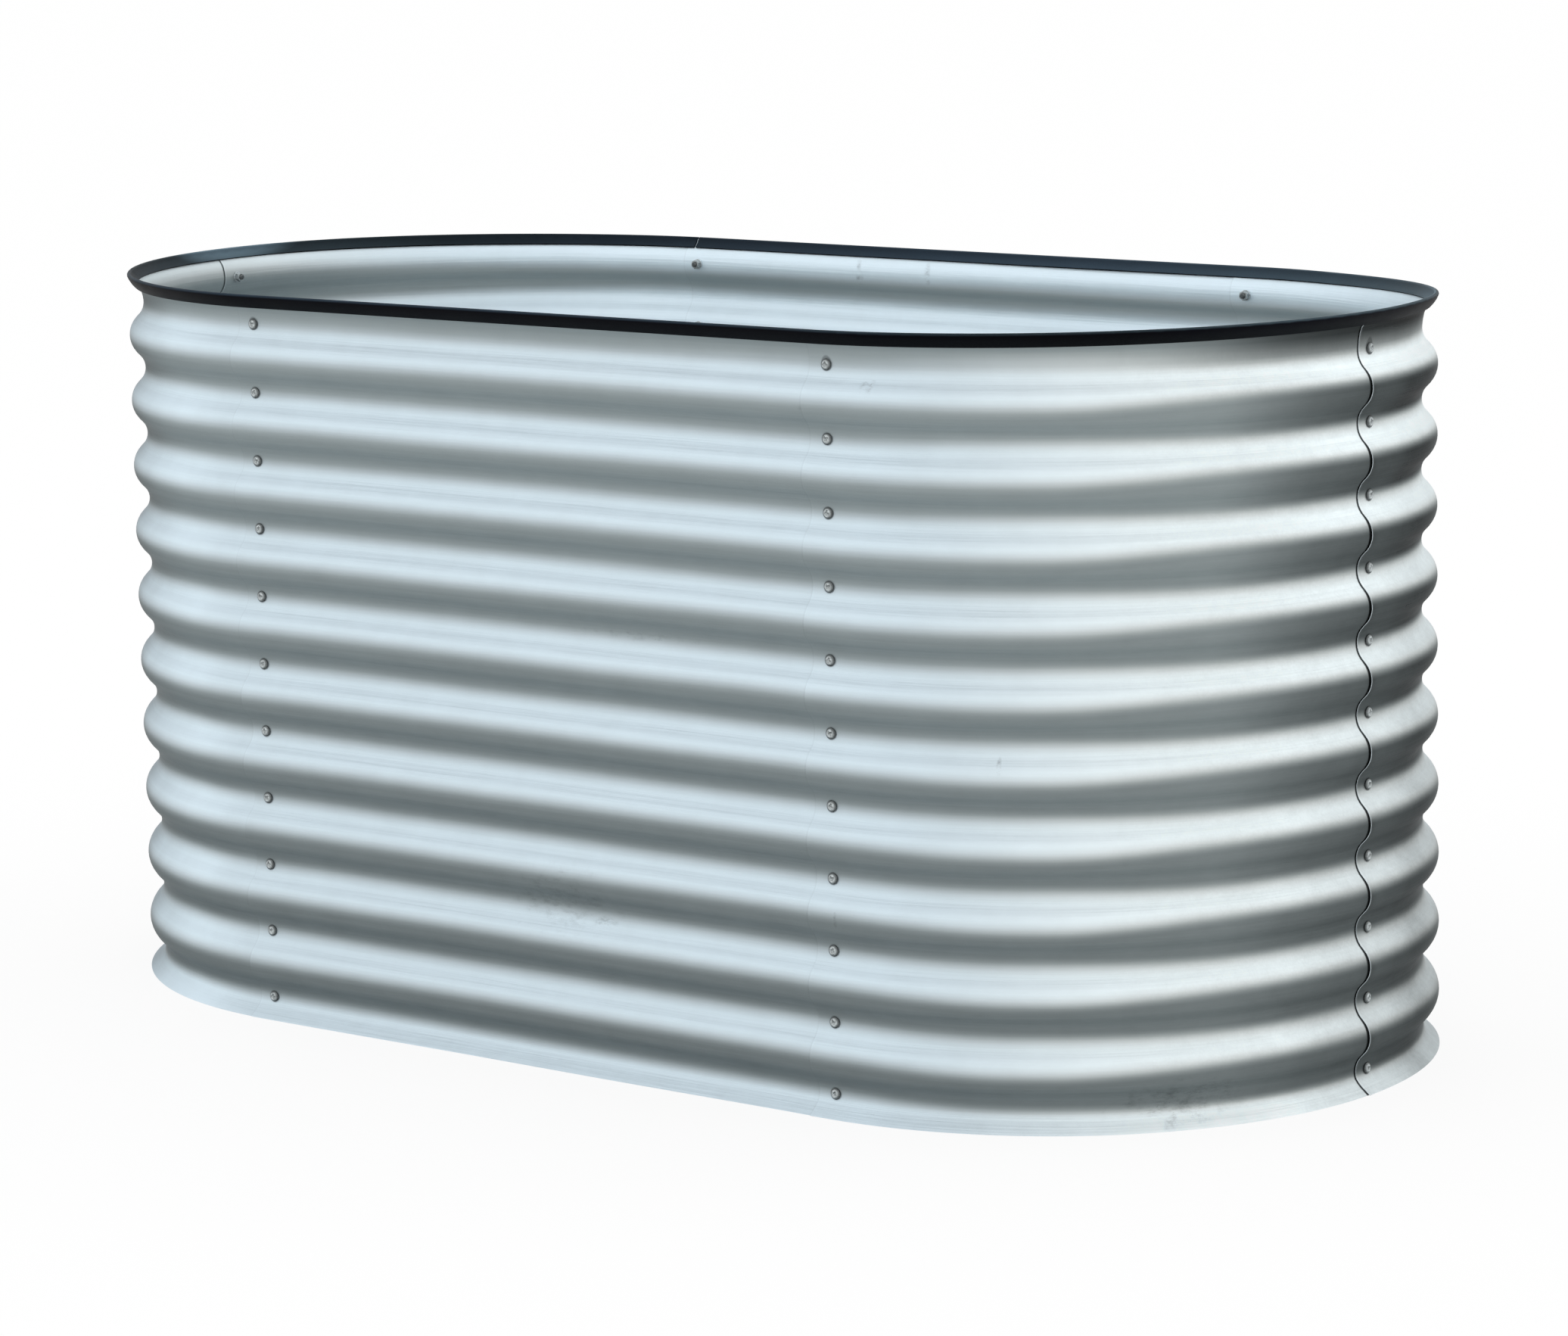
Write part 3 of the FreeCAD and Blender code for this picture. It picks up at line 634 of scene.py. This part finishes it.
def edging_rubber():
    """Black extruded rubber, satin. Its colour is lighter on top, a painted highlight, and lighter
    where it faces the right end, painted light. Its inner face is much lighter towards the round
    ends, partly dust and partly painted sheen, and all of it is greyer towards both ends."""
    material, recipe, surface = new_material("edging_rubber", metallic=0.0, specular=0.04)
    spot = recipe.node("ShaderNodeTexCoord").outputs["Object"]
    leans = dress(recipe, LEAN)
    faces = dress(recipe, WALL_FACES)
    detail = dress(recipe, SKIN_DETAIL, {
        "Place": spot, "Patch Stretch": (18, 18, 60), "Grain Stretch": (900, 900, 1500)})
    tone = recipe.ramp(recipe.math("MULTIPLY_ADD", leans["Up"], 0.5, 0.5), RUBBER_TONES)
    along = recipe.split(spot)[0]
    dust_and_sheen = recipe.total(
        recipe.fade(along, -0.8, 0.8, -0.45, 1.2),
        (2.4, recipe.fade(along, 0.66, 0.80)), (2.4, recipe.fade(along, -0.788, -0.804)),
    )
    # Painted light where the strip faces the right end.
    level = recipe.total(
        1.0, (0.35, detail["Patches"]), (0.25, detail["Grain"]),
        (0.8, recipe.fade(leans["Side"], 0.7, 1.0)),
    )
    level = recipe.times(level, recipe.total(1.0, (1.0, faces["Inside"], dust_and_sheen)))
    greyer = recipe.vector_math("MULTIPLY", tone, GREYER)
    at_ends = recipe.total(recipe.fade(along, 0.0, 0.8), (1.0, recipe.fade(along, -0.5, -0.8)))
    tone = recipe.blend(at_ends, tone, greyer)
    colour = recipe.scaled_colour(tone, level)
    roughness = recipe.total(0.52, (0.2, detail["Patches"]))
    finish_surface(recipe, surface, colour, roughness, detail["Grain"], 0.0002)
    return material


strip = bmesh.new()
strip.from_mesh(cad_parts["rim_edging"].data)
bmesh.ops.remove_doubles(strip, verts=strip.verts, dist=1e-6)
raise_rim(strip)
make_piece(strip, "strip_round_rim", [edging_rubber()], "rim_edging")


# ---- bolts, washers and nuts -----------------------------------------------------------------

DARKEST = 0.12                   # level of the plating's darkest patches


def plated_steel(name, colour, roughness_level, rim_shade=0.0):
    """Dull zinc plating with small dark and bright patches, painted lighter where it faces up, and
    on a bolt's head painted shade round the rim and a painted highlight on the crown.
    """
    material, recipe, surface = new_material(name, metallic=0.6, specular=0.1)
    spot = recipe.node("ShaderNodeTexCoord").outputs["Object"]
    leans = dress(recipe, LEAN)
    detail = dress(recipe, SKIN_DETAIL, {
        "Place": spot, "Patch Stretch": (380, 380, 380), "Grain Stretch": (2400, 2400, 2400)})
    # Painted light: lighter where the surface faces up.
    level = recipe.total(
        1.0, (1.7, detail["Patches"]), (0.4, detail["Grain"]), (0.45, leans["Up"]))
    level = recipe.math("MAXIMUM", level, DARKEST)
    # Painted shade round a bolt head's rim and a painted highlight on its crown.
    if rim_shade:
        crown = recipe.node("ShaderNodeAttribute", attribute_name="crown").outputs["Fac"]
        level = recipe.times(level, recipe.fade(crown, 0.06, 0.50, 1 - rim_shade, 1.02))
    colour = recipe.scaled_colour(paint(*colour)[:3], level)
    roughness = recipe.total(roughness_level, (0.3, detail["Patches"]))
    finish_surface(recipe, surface, colour, roughness, detail["Grain"], 0.0001)
    return material


BOLT_ZINC = plated_steel("bolt_zinc", (182, 189, 190), 0.36, rim_shade=0.76)
# Painted shade: the cross recess's faces take this dark colour.
RECESS_SHADE = plated_steel("bolt_recess", (30, 34, 36), 0.6)
WASHER_ZINC = plated_steel("washer_zinc", (196, 203, 206), 0.42)
NUT_ZINC = plated_steel("nut_zinc", (164, 171, 173), 0.40)


def reach(kind):
    """From where to where a kind of fastener reaches on its own axis, out from the end's centre."""
    low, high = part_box(f"{kind}_right_end")
    return low.x - HALF_RUN, high.x - HALF_RUN


def turned(outline, steps, closed=False):
    """A round piece about the X axis, from (along, radius) points of its half section."""
    bm = bmesh.new()
    ring = [bm.verts.new((along, 0, radius)) for along, radius in outline]
    for first, second in zip(ring, ring[1:]):
        bm.edges.new((first, second))
    if closed:
        bm.edges.new((ring[-1], ring[0]))
    geometry = bm.verts[:] + bm.edges[:]
    bmesh.ops.spin(bm, geom=geometry, cent=(0, 0, 0), axis=(1, 0, 0), angle=math.tau,
                   steps=steps, use_merge=True)
    bmesh.ops.remove_doubles(bm, verts=bm.verts, dist=1e-6)
    bmesh.ops.recalc_face_normals(bm, faces=bm.faces)
    return bm


HEAD_RADIUS = 0.006
HEAD_EDGE = 0.0009               # height of the head's straight edge, under its dome
HEAD_RISE = 0.0034
SEAT_ROUND = 0.0003              # round off the head's lower edge
DOME_RINGS = (0.0055, 0.0047, 0.0038)
SHANK_RADIUS = 0.003
SHANK_TIP = ((0.0, 0.0), (0.0, 0.0021), (0.0006, 0.0027))     # (from the tip, radius)
THREAD_PITCH = 0.001
THREAD_DEPTH = 0.00045
THREAD_TURNS = 5
THREAD_START = 0.0008            # from the shank's tip
THREAD_END = 0.0062
CROSS_REACH = 0.0032             # from the head's centre to the end of each arm
CROSS_CORE = 0.0013              # radius of the round middle of the cross
CROSS_DEPTH = 0.0017
CROSS_TAPER = 0.72               # size of the cross at its floor, as a share
CROSS_ARM = math.radians(12)     # half the angle that each arm spans


def bolt():
    """A round-headed bolt with a cross recess. Its thread shows past the nut."""
    tip, crown = reach("bolts")
    seat = crown - HEAD_RISE
    outline = [(tip + along, radius) for along, radius in SHANK_TIP]
    for turn in range(THREAD_TURNS):
        start = tip + THREAD_START + turn * THREAD_PITCH
        groove = start + THREAD_PITCH / 2
        outline += [(start, SHANK_RADIUS), (groove, SHANK_RADIUS - THREAD_DEPTH)]
    outline += [
        (tip + THREAD_END, SHANK_RADIUS), (seat, SHANK_RADIUS), (seat, HEAD_RADIUS - SEAT_ROUND),
        (seat + 0.0002, HEAD_RADIUS), (seat + HEAD_EDGE, HEAD_RADIUS),
    ]
    dome_rise = HEAD_RISE - HEAD_EDGE
    dome = (HEAD_RADIUS**2 + dome_rise**2) / (2 * dome_rise)
    for radius in (*DOME_RINGS, CROSS_REACH, CROSS_CORE, 0.0):
        outline.append((crown - dome + math.sqrt(dome**2 - radius**2), radius))
    bm = turned(outline, 24)
    crown_share = bm.verts.layers.float.new("crown")
    for vert in bm.verts:
        if vert.co.x > seat:
            vert[crown_share] = 1 - math.hypot(vert.co.y, vert.co.z) / HEAD_RADIUS

    cross = []
    for face in bm.faces:
        middle = face.calc_center_median()
        radius = math.hypot(middle.y, middle.z)
        angle = math.atan2(middle.z, middle.y) % (math.pi / 2)
        on_arm = min(angle, math.pi / 2 - angle) < CROSS_ARM
        if middle.x > seat and radius < CROSS_REACH and (on_arm or radius < CROSS_CORE):
            cross.append(face)
    sunk = bmesh.ops.extrude_face_region(bm, geom=cross)["geom"]
    floor = [item for item in sunk if isinstance(item, bmesh.types.BMVert)]
    bmesh.ops.translate(bm, vec=(-CROSS_DEPTH, 0, 0), verts=floor)
    bmesh.ops.scale(bm, vec=(1, CROSS_TAPER, CROSS_TAPER), verts=floor)
    for item in sunk:
        if isinstance(item, bmesh.types.BMFace):
            item.material_index = 1
    bmesh.ops.recalc_face_normals(bm, faces=bm.faces)
    return bm


def washer():
    """A flat ring with its edges rounded off."""
    inner, outer = reach("washers")
    bore, rim, edge = 0.0032, 0.00625, 0.0002
    return turned((
        (inner, bore + edge), (inner, rim - edge), (inner + edge, rim), (outer - edge, rim),
        (outer, rim - edge), (outer, bore + edge), (outer - edge, bore), (inner + edge, bore),
    ), 32, closed=True)


NUT_FLAT = 0.005                 # from the axis to a flat of the hexagon
NUT_BORE = 0.0031
NUT_CHAMFER = math.radians(30)


def nut():
    """A hexagon nut with its corners chamfered at both ends."""
    inner, outer = reach("nuts")
    bm = bmesh.new()

    def ring(along, radius, hexagon=False):
        made = bmesh.ops.create_circle(bm, segments=24, radius=1.0)["verts"]
        for vert in made:
            angle = math.atan2(vert.co.y, vert.co.x)
            from_flat = (angle + math.pi / 6) % (math.pi / 3) - math.pi / 6
            distance = radius / math.cos(from_flat) if hexagon else radius
            chamfer = max(0.0, distance - NUT_FLAT) * math.tan(NUT_CHAMFER)
            inwards = chamfer if along < (inner + outer) / 2 else -chamfer
            vert.co = along + inwards, distance * math.cos(angle), distance * math.sin(angle)
        return {edge for vert in made for edge in vert.link_edges}

    countersink, face_edge, face_rise = 0.0004, 0.0002, 0.0001
    rings = [
        ring(inner + countersink, NUT_BORE), ring(inner, NUT_BORE + countersink),
        ring(inner, NUT_FLAT - face_edge), ring(inner + face_rise, NUT_FLAT, hexagon=True),
        ring(outer - face_rise, NUT_FLAT, hexagon=True), ring(outer, NUT_FLAT - face_edge),
        ring(outer, NUT_BORE + countersink), ring(outer - countersink, NUT_BORE),
    ]
    for first, second in zip(rings, rings[1:] + rings[:1]):
        bmesh.ops.bridge_loops(bm, edges=list(first | second))
    bmesh.ops.recalc_face_normals(bm, faces=bm.faces)
    return bm


# Each seam, the end of the bed that it belongs to, and which way it faces, in degrees.
SEAMS = (
    ("front_left", -1, -90),
    ("front_right", 1, -90),
    ("right_end", 1, 0),
    ("back_right", 1, 90),
    ("back_left", -1, 90),
    ("left_end", -1, 180),
)
TURN_PER_VALLEY, TURN_PER_SEAM = 2.4, 1.1      # radians from one bolt to the next


def fasten(kind, pattern, materials):
    """Sets eleven of a kind at each seam, each turned on its axis as it happened to be driven."""
    template = bpy.data.meshes.new(f"one_of_{kind}")
    pattern.to_mesh(template)
    pattern.free()
    for index, (seam, end, turn) in enumerate(SEAMS):
        bm = bmesh.new()
        facing = Matrix.Rotation(math.radians(turn), 4, "Z")
        stand = Matrix.Translation((end * HALF_RUN, 0, 0)) @ facing
        for level in range(VALLEYS):
            placed = len(bm.verts)
            bm.from_mesh(template)
            lift = Matrix.Translation((0, 0, FOOT + PITCH * level))
            driven = Matrix.Rotation(level * TURN_PER_VALLEY + index * TURN_PER_SEAM, 4, "X")
            bmesh.ops.transform(bm, matrix=stand @ lift @ driven, verts=bm.verts[placed:])
        make_piece(bm, f"{kind}_of_{seam}", materials, f"{kind}_{seam}")
    bpy.data.meshes.remove(template)


fasten("bolts", bolt(), [BOLT_ZINC, RECESS_SHADE])
fasten("washers", washer(), [WASHER_ZINC])
fasten("nuts", nut(), [NUT_ZINC])


# ---- floor, light and camera -----------------------------------------------------------------

def seen_directly(recipe):
    """1 where the background is seen, or is seen in metal or through something, else 0."""
    path = recipe.node("ShaderNodeLightPath").outputs
    seen = recipe.math("MAXIMUM", path["Is Camera Ray"], path["Is Glossy Ray"])
    return recipe.math("MAXIMUM", seen, path["Is Transmission Ray"])


FLOOR_GLOW = 0.86                # share of the floor that is plain white


def pale_floor():
    """A plain white floor that keeps a little of the bed's shadow."""
    material, recipe, surface = new_material("pale_floor", metallic=0.0, specular=0.0)
    surface.inputs["Base Color"].default_value = (1, 1, 1, 1)
    surface.inputs["Roughness"].default_value = 0.9
    glow = recipe.node("ShaderNodeEmission", {"Color": (1, 1, 1, 1), "Strength": 1.0})
    share = recipe.times(seen_directly(recipe), FLOOR_GLOW)
    feeds = {0: share, 1: surface.outputs[0], 2: glow.outputs[0]}
    mixed = recipe.node("ShaderNodeMixShader", feeds)
    output = material.node_tree.nodes["Material Output"]
    material.node_tree.links.new(mixed.outputs[0], output.inputs["Surface"])

    bm = bmesh.new()
    bmesh.ops.create_grid(bm, x_segments=1, y_segments=1, size=60)
    mesh = bpy.data.meshes.new("floor")
    bm.to_mesh(mesh)
    bm.free()
    mesh.materials.append(material)
    floor = bpy.data.objects.new("floor", mesh)
    bpy.context.scene.collection.objects.link(floor)


def sky(level):
    """An even light from all round, before a white background."""
    world = bpy.data.worlds.new("sky")
    world.use_nodes = True
    bpy.context.scene.world = world
    recipe = Recipe(world.node_tree)
    strength = recipe.fade(seen_directly(recipe), 0.0, 1.0, level, 1.0)
    background = world.node_tree.nodes["Background"]
    background.inputs["Color"].default_value = (1, 1, 1, 1)
    recipe.feed(background.inputs["Strength"], strength)


def soft_lamp(name, place, aim, width, power, colour=(1, 1, 1)):
    lamp = bpy.data.lights.new(name, "AREA")
    lamp.shape = "SQUARE"
    lamp.size = width
    lamp.energy = power
    lamp.color = colour
    stand = bpy.data.objects.new(name, lamp)
    stand.location = place
    stand.rotation_euler = (Vector(aim) - Vector(place)).to_track_quat("-Z", "Y").to_euler()
    bpy.context.scene.collection.objects.link(stand)


def camera(azimuth, elevation, roll, distance, target, lens):
    """Looks at the target from the photograph's side, height and distance."""
    azimuth, elevation, roll = map(math.radians, (azimuth, elevation, roll))
    forward = Vector((-math.sin(azimuth) * math.cos(elevation),
                      math.cos(azimuth) * math.cos(elevation), -math.sin(elevation)))
    level = Vector((math.cos(azimuth), math.sin(azimuth), 0))
    upright = level.cross(forward)
    right = level * math.cos(roll) + upright * math.sin(roll)
    above = upright * math.cos(roll) - level * math.sin(roll)
    data = bpy.data.cameras.new("camera")
    data.lens = lens
    data.sensor_width = 36.0
    data.clip_end = 200.0
    made = bpy.data.objects.new("camera", data)
    made.matrix_world = Matrix((right, above, -forward)).transposed().to_4x4()
    made.location = Vector(target) - forward * distance
    bpy.context.scene.collection.objects.link(made)
    bpy.context.scene.camera = made


pale_floor()
sky(0.98)
soft_lamp("key", (-2.6, -4.2, 4.2), (0, 0, 0.4), 4.5, 25)
soft_lamp("end_light", (2.4, 2.6, 2.6), (0.8, 0, 0.45), 1.2, 7)
camera(37.291, 9.768, -0.849, 5.89018, (0.030757, 0, 0.379323), 119.98)
bpy.context.scene.view_settings.view_transform = "Standard"

bpy.context.view_layer.update()
